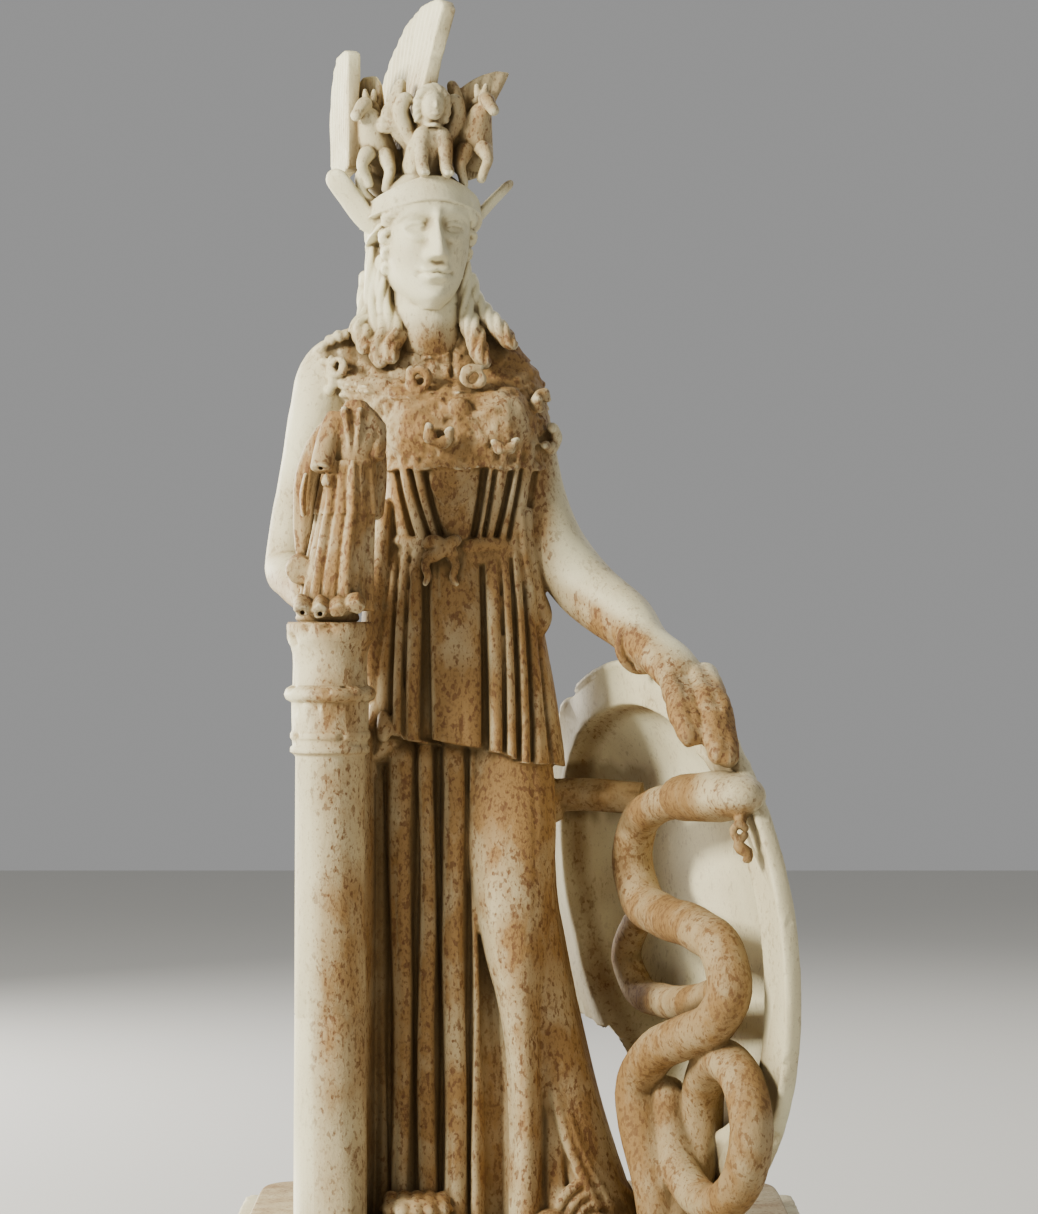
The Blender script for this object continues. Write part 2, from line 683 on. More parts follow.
forms["column"] = [skin(120, 420, column)]
web = [(-120, -48, 8, 8, 38), (-119, -48, 200, 8, 38), (-118, -48, 396, 7, 34)]
forms["dress"].append(rod(web, 40, 60, across=(0.2, 0.98, 0), blunt=0.1))

# The small winged figure on the hand: a long gown with an overfold, its wings folded down behind,
# its head lost, one arm a stump and the other holding a strip of cloth.
SMALL_BASE = COLUMN_TOP + 12


def small_gown(low, high, sections, folds, depth, tilt=0.0):
    def place(turn, up):
        z = SMALL_BASE + low + (high - low) * up
        cx, cy, a, b = read([(SMALL_BASE + s[0], *s[1:]) for s in sections], z, 4)
        angle = TAU * turn
        wave = pipe((turn * folds + tilt * up) % 1, 2.2, 0.7)
        swing = depth * wave * (0.75 + 0.25 * np.sin(7 * angle))
        x = cx + (a + swing) * np.sin(angle)
        y = cy - (b + swing) * np.cos(angle)
        return x, y, z + np.where(up < 0.05, 2.5 * (1 - wave), 0)

    return skin(320, 130, place)


def on_hand(stations, *counts, **form):
    """A rod of the small figure, with its heights taken from the figure's own feet."""
    return rod([(x, y, SMALL_BASE + z, *radii) for x, y, z, *radii in stations], *counts, **form)


small = [
    small_gown(
        -4,
        84,
        [(-4, -136, -104, 24, 20), (40, -132, -104, 20, 18), (84, -127, -104, 16, 15)],
        13,
        6.4,
    ),
    small_gown(68, 108, [(68, -128, -104, 20.5, 18), (108, -125, -104, 15, 14)], 15, 5.2, 0.3),
    on_hand([
        (-125, -104, 94, 15, 14), (-122, -105, 122, 17.5, 15), (-121, -104, 140, 18.5, 12),
        (-121, -103, 149, 10, 9), (-121, -102, 153, 7.5, 7.5),
    ], 60, 70, blunt=0.25),
    rod([
        (
            -123 + 16 * math.sin(a), -104 - 15.3 * math.cos(a),
            SMALL_BASE + 107 - 1.5 * math.cos(2 * a), 2.4,
        )
        for a in np.linspace(-2, 2, 17)
    ], 14, 70),
    blob((-129, -113, SMALL_BASE + 127), (8, 5.5, 9), 24, 18),
    blob((-114, -113, SMALL_BASE + 127), (7.5, 5, 9), 24, 18),
    on_hand([(-130, -114, 148, 2.6), (-127, -119, 132, 2.6), (-125, -118, 112, 2.4)], 14, 40),
    on_hand([(-118, -114, 148, 2.4), (-119, -119, 132, 2.4), (-121, -118, 112, 2.2)], 14, 40),
    on_hand([
        (-134, -105, 143, 9.5), (-141, -112, 124, 9.2), (-146, -119, 106, 8.4), (-147, -122, 100, 8),
    ], 40, 60, blunt=0.3),
    on_hand([(-108, -104, 138, 8), (-106, -107, 122, 7.4), (-107, -111, 108, 6.8)], 30, 50, blunt=0.5),
    blob(
        (-142, -120, SMALL_BASE + 93), (4.8, 4.5, 4.5), 20, 14,
        lambda t, u: 1 + 0.15 * np.sin(9 * t + 7 * u),
    ),
    on_hand([(-158, -112, 99, 1.8, 5), (-160.5, -113, 84, 2.4, 6), (-160, -112, 66, 1.8, 5)], 24, 50),
    on_hand([(-164, -72, 30, 10), (-163.5, -104, 27, 10.5), (-163, -112, 26, 10)], 50, 50, blunt=0.12),
    on_hand([(-152, -88, 2, 12, 14), (-160, -80, 20, 13, 14), (-163, -60, 34, 12, 12)], 30, 40),
]


def feathered(turn, up):
    """Long feathers down a folded wing, below a smooth shoulder."""
    quills = np.abs(np.sin(TAU * 3.5 * turn)) ** 0.6
    return 0.94 + 0.16 * quills * fade(0.2, 0.45, up) + 0.04 * np.sin(26 * up) * fade(0.4, 0.2, up)


for wing in (
    [
        (-128, -92, 140, 7, 7), (-142, -92, 132, 9, 8), (-154, -92, 108, 10, 7), (-160, -90, 72, 9, 6),
        (-161, -86, 36, 6, 4),
    ],
    [(-116, -88, 134, 6, 7), (-109, -84, 120, 7, 8), (-107, -80, 94, 7, 7), (-109, -78, 64, 6, 6)],
):
    small.append(on_hand(wing, 70, 130, feathered, across=(0.3, 1, 0)))
forms["small"] = small

# The neck and face. The face is a plain classical one: brow, nose and chin divide it in three
# equal parts, the eyes are one eye's width apart, and the mouth is small and closed.
HEAD = np.array([-74.0, 6.0, 771.0])
HEAD_YAW = math.radians(16)


def in_head(mesh):
    """Moves a form from the head's own frame, which has its origin between the eyes."""
    points = mesh_points(mesh)
    c, s = math.cos(HEAD_YAW), math.sin(HEAD_YAW)
    x, y = points[:, 0] * c - points[:, 1] * s, points[:, 0] * s + points[:, 1] * c
    put_points(mesh, np.column_stack([x, y, points[:, 2]]) + HEAD)
    return mesh


def on_head(*meshes):
    forms["head"] += [in_head(mesh) for mesh in meshes]


def hump(x, z, x0, z0, rx, rz, power=1.0):
    return np.exp(-(((((x - x0) / rx) ** 2 + ((z - z0) / rz) ** 2)) ** power))


SKULL = [
    (-60, 0, 8, 30, -18),
    (-56, 0, 15, 36, -10),
    (-50, 0, 20, 39, -2),
    (-38, 0, 27, 39.5, 12),
    (-20, 0, 32, 40, 28),
    (0, 0, 34.5, 40, 38),
    (18, 0, 35, 42, 42),
    (34, 0, 31, 36, 38),
    (46, 0, 20, 22, 24),
    (50, 0, 10, 12, 14),
]


def face(turn, up):
    z = -60 + 110 * up
    _, half, front, behind = read(SKULL, z, 4)
    angle = TAU * turn
    across, forward = np.sin(angle), np.cos(angle)
    x = half * np.sign(across) * np.abs(across) ** 0.86
    y = np.where(forward > 0, -front * np.abs(forward) ** 0.72, behind * np.abs(forward) ** 0.9)
    side = np.abs(x)
    # Nose: a straight ridge from the brow to a rounded tip, with its wings and a sharp base.
    length = fade(15, -17, z)
    width = 3.6 + 2.6 * length
    ridge = (3.5 + 11.5 * length) * np.exp(-((np.abs(x) / width) ** 2.4)) * fade(22, 8, z)
    base = fade(-25.5, -20.5, z)
    nose = ridge * base + 4.8 * hump(side, z, 6.6, -19, 3.4, 4.0)
    nose = nose - 2.2 * hump(side, z, 3.6, -23.5, 2.0, 1.8)
    # Brow: a soft shelf whose lower edge is sharp, over a deep socket.
    brow_line = 11.5 - 0.006 * (side - 14) ** 2 - 0.0009 * np.clip(side - 14, 0, 99) ** 3
    brow = 2.4 * fade(brow_line - 4, brow_line + 0.5, z) * fade(30, 14, z) * fade(34, 26, side)
    socket = -6.4 * hump(side, z, 13.5, 1.5, 10.5, 7.5, 1.5) - 2.0 * hump(side, z, 7, 4, 3, 4)
    # Eye: the ball, then lids that stand out round an almond opening.
    ball = 5.4 * np.clip(1 - ((side - 15) / 12) ** 2 - (z / 10.5) ** 2, 0, 1) ** 0.8
    reach = np.clip(1 - ((side - 15) / 8.8) ** 2, 0, 1)
    upper = 3.7 * reach**0.8 + 0.25 * (side - 15) * 0.12
    lower = -2.9 * reach**0.9
    gap = np.minimum(upper - z, z - lower)
    opening = fade(-0.35, 0.35, gap) * fade(0.0, 0.08, reach)
    lid = 1.5 * hump(side, z, 15, 0.6, 12, 7.5) * (1 - opening)
    crease = -1.1 * peak(z - upper, 3.2, 0.9) * fade(0.0, 0.4, reach)
    eyes = socket + ball + lid + crease
    # Mouth: two full lips parted by a soft line, a hollow above the chin and one under the nose.
    bow = -33 + 0.5 * peak(x, 0, 3) - 0.5 * peak(side, 6, 4)
    lip_width = fade(13.2, 8.5, side)
    top_lip = 3.4 * peak(z - bow, 2.4, 2.2) * lip_width
    low_lip = 3.9 * peak(z - bow, -3.4, 2.8) * fade(12, 5.5, side)
    parting = -2.8 * peak(z, bow, 0.75) * fade(15, 11, side)
    corners = -1.8 * hump(side, z, 13.5, -33, 2.6, 2.4)
    muzzle = 2.6 * hump(x, z, 0, -33, 15, 11)
    philtrum = -0.9 * hump(x, z, 0, -27, 1.9, 3.6)
    chin = 3.4 * hump(x, z, 0, -50.5, 10.5, 6.5) - 1.6 * hump(x, z, 0, -42.5, 8.5, 2.6)
    cheek = 2.2 * hump(side, z, 21, -15, 9, 11) - 0.8 * hump(side, z, 17, -30, 4.5, 9)
    features = nose + brow + eyes + top_lip + low_lip + parting + corners + muzzle + philtrum
    y = np.where(forward > 0, y - (features + chin + cheek) * fade(0, 0.25, forward), y)
    return x, y, z


forms["head"] = []
on_head(skin(480, 320, face))
neck = [
    (-69, 11, 664, 29, 29),
    (-70, 8, 686, 27, 27),
    (-71, 5, 708, 25, 25.5),
    (-72, 6, 728, 24.5, 26),
    (-74, 12, 748, 26, 28),
]


def creased(turn, up):
    """Two faint creases round the throat."""
    return 1 - 0.02 * sum(peak(up, at, 0.012) for at in (0.42, 0.6))


forms["head"].append(rod(neck, 90, 120, creased))

# Her hair: curls at the temples, waved locks that fall from behind the ears over the collar, and
# a broad mass down the back. Each lock is a twisted strand cut with three or four grooves.


def strand(twist, lobes=3, depth=0.17):
    def swell(turn, up):
        beat = np.abs(np.sin(math.pi * lobes * (turn - twist * up)))
        return 1 - depth + depth * 1.6 * beat**0.7

    return swell


locks = [
    [
        (-112, 16, 764, 5.5), (-113, 12, 740, 6), (-112, 8, 718, 7), (-108, 0, 704, 8),
        (-104, -10, 692, 9), (-107, -18, 679, 8), (-103, -26, 667, 5),
    ],
    [
        (-105, 8, 756, 5), (-105, 6, 735, 5.5), (-104, 2, 716, 6.5), (-99, -5, 703, 8),
        (-95, -13, 692, 8), (-99, -21, 680, 7), (-96, -28, 669, 4.5),
    ],
    [
        (-118, 22, 744, 5), (-119, 16, 720, 6), (-118, 6, 706, 7), (-122, -4, 696, 8),
        (-117, -14, 687, 8), (-121, -22, 678, 5),
    ],
    [
        (-42, 10, 752, 5), (-42, 8, 732, 5.5), (-41, 2, 714, 6.5), (-38, -6, 701, 7.5),
        (-33, -15, 689, 8), (-30, -23, 677, 7), (-24, -29, 666, 4.5),
    ],
    [
        (-38, 16, 742, 5), (-34, 10, 722, 6), (-26, 2, 709, 7), (-18, -6, 699, 7.5),
        (-9, -11, 689, 6.5), (-3, -15, 681, 4.5),
    ],
]
for n, stations in enumerate(locks):
    forms["head"].append(rod(stations, 70, 200, strand(0.55 + 0.2 * n, 5, 0.2)))


def tousled(turn, up):
    return 1 + 0.08 * np.sin(30 * turn + 18 * up)


for side in (-1, 1):
    for x, y, z, r in (
        (29, -27, 19, 5.0), (33, -20, 9, 6.0), (34, -16, -4, 6.2), (32, -12, -16, 5.6),
        (30, -3, -27, 5.4),
    ):
        curl = [
            (
                side * (x + r * 0.35 * math.cos(3.5 * TAU * k / 30)),
                y - r * 0.9 + r * 1.8 * k / 30,
                z + r * (0.75 - 0.4 * k / 30) * math.sin(1.6 * TAU * k / 30),
                2.6,
            )
            for k in range(31)
        ]
        on_head(rod(curl, 14, 90))
        on_head(blob((side * (x - 1), y + 3, z), (r, r, r * 1.1), 24, 16, tousled))
    on_head(rod([
        (side * 11, -33, 20, 3), (side * 21, -34, 17.5, 3.6), (side * 29, -27, 14, 4.6),
        (side * 34, -16, 8, 6),
    ], 30, 60, strand(1.2, 4)))


def back_hair(turn, up):
    z = 594 + 190 * up
    cx, cy, a, b = read([
        (594, -76, 60, 18, 9), (670, -81, 50, 27, 14), (720, -84, 44, 29, 17), (784, -84, 34, 31, 20),
    ], z)
    angle = TAU * turn
    wave = pipe((turn * 16 + 0.35 * np.sin(z / 17)) % 1, 2.2, 0.7)
    return cx + (a + 2.6 * wave) * np.sin(angle), cy - (b + 2.6 * wave) * np.cos(angle), z


forms["head"].append(skin(320, 160, back_hair))

# The helmet: a close cap with a smooth frontlet over the brow and a raised cheek piece at each
# side, hinged up and out like a short wing.


def helmet_edge(angle):
    return 2 + 18 * np.cos(angle) - 8 * np.sin(angle) ** 2


def helmet_cap(turn, up):
    angle = TAU * turn
    rise = up * math.radians(86)
    bottom = helmet_edge(angle)
    out = 1.5 * fade(0.06, 0.0, up)
    return (
        (41 + out) * np.cos(rise) * np.sin(angle),
        8 - (50 + out) * np.cos(rise) * np.cos(angle),
        bottom + (54 - bottom) * np.sin(rise),
    )


def frontlet(turn, up):
    # A smooth band that follows the brow, a little thicker at both edges.
    along = (turn * 2) % 1
    outside = turn < 0.5
    angle = np.where(outside, -1.75 + 3.5 * along, 1.75 - 3.5 * along)
    low = 3 + 18.5 * np.cos(angle * 0.92) + 0.8 * np.cos(4 * angle)
    z = low + (6 + 13.5 * np.cos(angle * 0.8)) * up
    slope = np.sqrt(np.clip(1 - ((z - 2) / 62) ** 2, 0.1, 1))
    rolled = 0.8 * peak(up, 0.06, 0.06) + 0.9 * peak(up, 0.95, 0.05)
    out = np.where(outside, 6.0 + rolled, -6)
    return (41 * slope + out) * np.sin(angle), 6 - (47 * slope + out) * np.cos(angle), z


on_head(skin(180, 90, helmet_cap), skin(400, 90, frontlet))
on_head(rod([
    (-37, 2, 0, 4, 8), (-46, 1, 11, 4.4, 11), (-57, 0, 25, 4.2, 11.5), (-69, -2, 40, 4, 11),
    (-74, -2, 47, 3.6, 9),
], 48, 80, across=(-0.62, 0.75, 0), blunt=2.0))
on_head(rod([
    (37, 4, 6, 4, 9), (48, 3, 18, 4.2, 12), (60, 2, 31, 4.0, 12), (72, 0, 43, 3.6, 9),
], 48, 80, across=(0.28, 1, 0), blunt=2.2))
# A scroll fills the angle between the left cheek piece and the side crest.
on_head(rod([
    (-36, -2, 22, 4), (-44, -4, 26, 4), (-51, -5, 35, 4), (-50, -4, 45, 4), (-42, -2, 50, 4.4),
], 20, 50))

# The crests. The middle one is a tall plume like a comb, seen from its side: its hair is cut in
# long radiating lines, and its front edge is a flat strip. One side crest is left standing.


def plate(outline, thick, place, yaw, lean=0.0, bevel=1.6):
    """A standing slab from an outline of its own X and Z, with softened edges."""
    bm = bmesh.new()
    side = bm.faces.new([bm.verts.new((a, -thick / 2, b)) for a, b in outline])
    raised = bmesh.ops.extrude_face_region(bm, geom=[side])["geom"]
    bmesh.ops.translate(
        bm,
        verts=[v for v in raised if isinstance(v, bmesh.types.BMVert)],
        vec=(0, thick, 0),
    )
    bmesh.ops.recalc_face_normals(bm, faces=bm.faces[:])
    bmesh.ops.bevel(
        bm, geom=bm.edges[:], offset=bevel, segments=2, profile=0.5, affect="EDGES", material=-1,
    )
    bmesh.ops.triangulate(bm, faces=bm.faces[:])
    turn = Matrix.Translation(place) @ Matrix.Rotation(yaw, 4, "Z") @ Matrix.Rotation(lean, 4, "X")
    bmesh.ops.transform(bm, matrix=turn, verts=bm.verts[:])
    return as_mesh(bm)


middle_crest = [
    (-40, 172), (-32, 178), (-22, 180), (8, 179), (38, 168), (62, 146), (74, 126), (79, 100),
    (80, 70), (77, 42), (71, 16), (62, -2), (54, -8), (42, 6), (26, 26), (10, 38), (-16, 48),
    (-19, 80), (-22, 110), (-27, 134), (-34, 156),
]
side_crest = [
    (-18, 50), (-18, 96), (-19, 138), (-10, 141), (10, 138), (20, 126), (27, 104), (29, 80), (26, 56),
    (18, 42),
]
CREST_YAW = math.radians(112)
CREST_AT = (-93, -2, 771)
CREST_LEAN = math.radians(9)
SIDE_CREST_AT = (-133, 10, 771)
SIDE_CREST_YAW = math.radians(110)
forms["head"] += [
    plate(middle_crest, 12, CREST_AT, CREST_YAW, CREST_LEAN),
    plate(side_crest, 11, SIDE_CREST_AT, SIDE_CREST_YAW),
    rod([(-130, 8, 838, 5, 11), (-118, 10, 818, 7, 13), (-100, 10, 800, 9, 14)], 40, 40),
]


# Between the crests sit the helmet's beasts: a crouching winged one with a plain human head in
# the middle, and the foreparts of two rearing winged horses, their feathers cut in rows.
def quills(turn, up):
    return 1 + 0.16 * np.abs(np.sin(TAU * 2.5 * turn)) ** 0.6 * fade(0.05, 0.3, up)


beast = [
    rod([
        (-3, -2, 36, 20, 16), (-2, -14, 54, 17, 14), (-1, -20, 70, 15.5, 13), (0, -22, 84, 11, 10),
    ], 60, 80),
    blob((-7.5, -27, 71), (7.5, 7, 9), 30, 20),
    blob((7.5, -27, 71), (7.5, 7, 9), 30, 20),
    blob((0, -26, 97), (10.5, 11, 14), 50, 40),
    blob((0, -22, 85), (11, 9, 9), 30, 24),
    blob((0, -33.5, 95), (8, 5.2, 11), 30, 24),
    rod([(0, -38, 99, 1.2), (0, -39.2, 94.5, 1.6), (0, -37.6, 92.5, 1.2)], 12, 20),
    rod([(-3.2, -37.4, 89.5, 0.9), (0, -38.2, 89, 1.1), (3.2, -37.4, 89.5, 0.9)], 12, 20),
    rod([(-8.5, -22, 82, 1.6), (0, -34, 80.5, 1.8), (8.5, -22, 82, 1.6)], 12, 40),
    rod([
        (-10, -24, 82, 3.2), (-11.5, -26, 93, 3.6), (-8.5, -29, 105, 3.6), (0, -30, 109.5, 3.4),
        (8.5, -29, 105, 3.6), (11.5, -26, 93, 3.6), (10, -24, 82, 3.2),
    ], 30, 140, strand(4, 3, 0.22)),
]
for side in (-1, 1):
    beast.append(rod([
        (side * 9, -25, 74, 7), (side * 9.5, -30, 62, 6), (side * 9.5, -33, 49, 5),
        (side * 9.5, -38, 44.5, 4.8), (side * 9.5, -42, 43, 3.8),
    ], 24, 60))
    for toe in (-1.6, 1.6):
        beast.append(rod([(side * 9.5 + toe, -39, 44, 2.2), (side * 9.5 + toe, -45, 42.5, 2.2)], 12, 16))
    for n, (reach, top) in enumerate(((22, 118), (27, 108), (31, 99), (34, 91))):
        feather = [(side * 12, -10, 60 + 3 * n, 5, 6), (side * (reach - 6), -12, 78 + n, 5.5, 6)]
        feather += [(side * reach, -11, top - 10, 5, 5), (side * (reach - 3), -10, top, 3, 4)]
        beast.append(rod(feather, 30, 70, quills))
    beast.append(rod([
        (side * 12, -16, 66, 5, 5), (side * 19, -19, 80, 6, 6), (side * 23, -20, 92, 6, 6),
        (side * 19, -21, 101, 5.5, 5.5), (side * 14, -21, 97, 3.5, 3.5),
    ], 30, 70))
on_head(*beast)


def horse(place, mirror, wing):
    x0, y0, z0 = place
    limbs = [
        ([
            (-8, 24, -44, 16, 14), (-6, 13, -30, 16, 14), (-3, 3, -14, 13, 12), (0, -3, -2, 9.5, 10),
            (3, -7, 8, 7, 8),
        ], 48, 90),
        ([
            (1, -4, 13, 6, 6.4), (5, -9, 10, 6, 6.2), (9, -14, 4, 4.6, 5), (12.5, -18, -2, 4.4, 4.6),
        ], 30, 50),
        ([
            (0, -2, -24, 8), (4, -9, -30, 6), (6, -14, -37, 4.4), (3, -11, -45, 3.8), (0, -9, -54, 3.8),
        ], 24, 60),
        ([
            (-10, 2, -24, 8), (-13, -7, -33, 6), (-15, -12, -41, 4.4), (-13, -9, -50, 3.8),
            (-12, -7, -58, 3.8),
        ], 24, 60),
        ([(-1, -1, 12, 3.2), (-2, 0, 18, 2.8), (-2.5, 2, 24, 1.4)], 12, 24),
        ([(3, -3, 12, 3.2), (4, -2, 18, 2.8), (4.5, 0, 24, 1.4)], 12, 24),
        ([
            (0, 1, 15, 3.4, 4), (-4, 6, 4, 4.4, 5), (-7, 13, -10, 4.8, 5), (-10, 20, -26, 4.6, 5),
        ], 20, 80),
    ]
    made = []
    for n, (stations, columns, rows) in enumerate(limbs):
        placed = [(x0 + mirror * a, y0 + b, z0 + c, *r) for a, b, c, *r in stations]
        made.append(rod(placed, columns, rows, strand(4, 2, 0.2) if n == 6 else None))
    made.append(plate(wing, 8, (x0, y0 + 12, z0), math.radians(mirror * 12)))
    return made


far_wing = [
    (-22, 15), (-16, 21), (-8, 27), (2, 32), (12, 35), (23, 34), (18, 24), (13, 14), (9, 4), (7, -10),
    (6, -30), (3, -46), (-10, -50), (-20, -44), (-25, -28), (-25, -5),
]
near_wing = [
    (-6, -36), (-14, -22), (-18, -8), (-18, 8), (-14, 22), (-6, 34), (4, 35), (8, 28), (10, 14),
    (10, -6), (10, -30),
]
HORSES = (((-30, -4, 862), 1, far_wing), ((-114, -4, 858), -1, near_wing))
for placed in HORSES:
    forms["head"] += horse(*placed)


def cut_lines(points):
    """Grooves for the crests' hair and the horses' feathers, cut into the sides of the plates."""
    for place, yaw, lean, outline, thick, root, count, deep in (
        (CREST_AT, CREST_YAW, CREST_LEAN, middle_crest, 12, (30, -60), 150, 0.75),
        (SIDE_CREST_AT, SIDE_CREST_YAW, 0.0, side_crest, 11, (10, -80), 190, 0.7),
        ((-30, 8, 862), math.radians(12), 0.0, far_wing, 8, (-12, -70), 70, 0.9),
        ((-114, 8, 858), math.radians(-12), 0.0, near_wing, 8, (0, -80), 90, 0.9),
    ):
        turn = Matrix.Rotation(yaw, 3, "Z") @ Matrix.Rotation(lean, 3, "X")
        local = (points - np.array(place)) @ np.array(turn)
        a, b = local[:, 0], local[:, 2]
        inside = np.zeros(len(points), bool)
        for (x0, z0), (x1, z1) in zip(outline, outline[1:] + outline[:1]):
            inside ^= ((z0 > b) != (z1 > b)) & (a < x0 + (b - z0) * (x1 - x0) / ((z1 - z0) or 1))
        inside &= np.abs(np.abs(local[:, 1]) - thick / 2) < 0.9
        angle = np.arctan2(local[:, 0] - root[0], local[:, 2] - root[1])
        groove = deep * (0.5 - 0.5 * np.cos(angle * count + 0.5 * np.sin(local[:, 2] / 9)))
        away = np.sign(local[:, 1:2]) * np.array(turn)[:, 1]
        points = points - away * (groove * inside)[:, None]
    return points


# The shield: round, with a broad flat rim and a deep bowl, its hollow side to the figure. Bites
# are broken out of the rim, the largest low down at the back.
SHIELD_RIM = 36.0
SHIELD_THICKNESS = 12.0
SHIELD_BOWL = 44.0


def bowl_reach(a, b):
    """How far the bowl reaches from the middle: it was cut narrower low down at the back."""
    angles = (0, 93, 120, 130, 147, 181, 211, 230, 250, 270, 300, 330, 360)
    reaches = (181, 182, 182, 176, 159, 123, 113, 109, 114, 130, 160, 181, 181)
    return np.interp(np.degrees(np.arctan2(b, a)) % 360, angles, reaches)


def shield_shell():
    lip = SHIELD_RADIUS - SHIELD_RIM
    shares = np.linspace(0, 1, 30)
    inner = [(lip * s, -SHIELD_BOWL * math.sqrt(max(1 - s**4, 0))) for s in np.sin(shares * math.pi / 2)]
    outer = [(r + SHIELD_THICKNESS * 0.4 * min(1, r / 60), w - SHIELD_THICKNESS) for r, w in inner]
    band = [(lip + 0.4, 0.3), (lip + 1.4, 0.8), (lip + 2.8, 0.8), (lip + 4.4, 0.4), (lip + 6, 0.1)]
    band += [(lip + 8 + (SHIELD_RIM - 14) * k / 5, 0) for k in range(6)]
    band += [(SHIELD_RADIUS - 5.4, 0.2), (SHIELD_RADIUS - 4.8, 1.2)]
    edge = [
        (SHIELD_RADIUS - 1.5, 1.2),
        (SHIELD_RADIUS, -2.5),
        (SHIELD_RADIUS, -SHIELD_THICKNESS + 3),
        (SHIELD_RADIUS - 2, -SHIELD_THICKNESS),
        (SHIELD_RADIUS - 14, -SHIELD_THICKNESS),
    ]
    profile = inner + band + edge + outer[::-1]
    bm = bmesh.new()
    verts = [bm.verts.new((r, 0, w)) for r, w in profile]
    edges = [bm.edges.new(pair) for pair in zip(verts, verts[1:])]
    bmesh.ops.spin(
        bm, geom=verts + edges, cent=(0, 0, 0), axis=(0, 0, 1), angle=TAU, steps=220, use_merge=True
    )
    bmesh.ops.remove_doubles(bm, verts=bm.verts[:], dist=0.01)
    bmesh.ops.recalc_face_normals(bm, faces=bm.faces[:])
    mesh = as_mesh(bm)
    local = mesh_points(mesh)
    far = np.maximum(np.hypot(local[:, 0], local[:, 1]), 1e-6)
    near = bowl_reach(local[:, 0], local[:, 1])
    flat = SHIELD_RADIUS - 8 - lip
    moved = np.where(far < lip, far * near / lip, near + (far - lip) * (flat + lip - near) / flat)
    local[:, :2] *= (np.where(far < lip + flat, moved, far) / far)[:, None]
    put_points(
        mesh,
        shield_middle + local[:, :1] * ahead + local[:, 1:2] * upwards + local[:, 2:] * inwards,
    )
    return mesh


def craggy(turn, up):
    crumbs = 0.10 * np.sin(11 * TAU * turn + 5 * up) * np.sin(9 * up) + 0.06 * np.sin(23 * TAU * turn)
    return 1 + crumbs * np.sin(math.pi * up)


bite_places = (
    (118, 14, 20), (127, 12, 17), (136, 13, 18), (232, 2, 106), (322, 6, 11), (147, 16, 17),
    (340, 12, 14), (8, 12, 14), (97, 13, 13),
)
bites = [
    blob(rim(angle, out, 0), (size, size, size), 60, 40, craggy) for angle, out, size in bite_places
]
forms["shield"] = [shield_shell()]

# The snake rises in bends between the figure and the shield, with its blunt head laid against
# the rim, a coil behind it and a loop on the ground. A square bar of stone props its neck.
SNAKE = 16.5
snake_path = [
    (120, -99, 339), (103, -57, 332), (91, -22, 316), (87, -8, 288), (93, -20, 262), (109, -66, 250),
    (132, -134, 245), (149, -176, 230), (153, -186, 206), (144, -170, 182), (124, -138, 167),
    (102, -95, 150), (89, -70, 122), (92, -76, 89), (100, -88, 58), (108, -98, 8),
]
snake_loop = [
    (112, -78, 131), (113, -80, 98), (121, -103, 62), (142, -150, 44), (162, -192, 69), (168, -203, 106),
    (163, -187, 137), (150, -150, 151), (138, -97, 125), (137, -84, 92), (129, -94, 50), (122, -106, 8),
]
snake_behind = [
    (104, -20, 256), (90, 20, 236), (84, 40, 210), (92, 30, 188), (112, -14, 181), (130, -76, 186),
    (144, -134, 196), (150, -168, 204),
]


def body(stations, girth, rows):
    return rod([(*s, SNAKE * girth * (0.8 + 0.05 * min(n, 4))) for n, s in enumerate(stations)], 48, rows)


forms["snake"] = [
    body(snake_path, 1.0, 420),
    body(snake_loop, 0.96, 300),
    body(snake_behind, 0.8, 140),
    rod([
        (117, -94, 340, 15), (122, -106, 341, 20.5, 17), (135, -136, 343, 22, 18),
        (150, -166, 345, 22.5, 18.5), (162, -192, 346, 19.5, 15), (169, -206, 346, 13, 11),
    ], 60, 120, blunt=0.9),
    rod([
        (159 + 4.6 * math.cos(a), -203, 321 + 5 * math.sin(a), 2.9)
        for a in np.linspace(0, TAU, 13)
    ], 16, 70),
    rod([(160, -190, 334, 5), (160, -198, 329, 4.4), (159, -203, 325, 3)], 16, 30),
    rod([
        (156, -203, 314, 3.6), (160, -204, 309, 4.4), (165, -204, 306, 3.8), (165, -204, 301, 3),
        (161, -204, 301, 2.6),
    ], 16, 50),
    rod(
        [(2, 4, 336, 13, 13), (50, -4, 339, 12.5, 12.5), (96, -14, 336, 12.5, 12.5)],
        40,
        60,
        lambda t, u: 0.86 + 0.16 * np.abs(np.cos(2 * TAU * t)) ** 2,
        blunt=0.1,
    ),
    rod([(2, 6, 330, 22, 20), (22, 2, 334, 19, 18), (34, 0, 336, 15, 15)], 40, 40, blunt=0.2),
]

# The ground slab under it all is cut with the figure, with soft corners and a tooled top.
SLAB_HALF_WIDE, SLAB_HALF_DEEP = 209, 204


def slab(turn, up):
    angle = TAU * turn
    square = 12.0
    reach = (np.abs(np.sin(angle)) ** square + np.abs(np.cos(angle)) ** square) ** (-1 / square)
    heights = (0.0, 0.0, 2.0, SLAB_TOP - 2.5, SLAB_TOP - 0.4, SLAB_TOP)
    z = np.interp(up * 5, range(6), heights)
    share = np.interp(up * 5, range(6), (0.985, 0.995, 1.0, 1.0, 0.993, 0.98))
    x = SLAB_HALF_WIDE * reach * share * np.sin(angle)
    return x, -SLAB_HALF_DEEP * reach * share * np.cos(angle), z


forms["slab"] = [skin(360, 26, slab)]

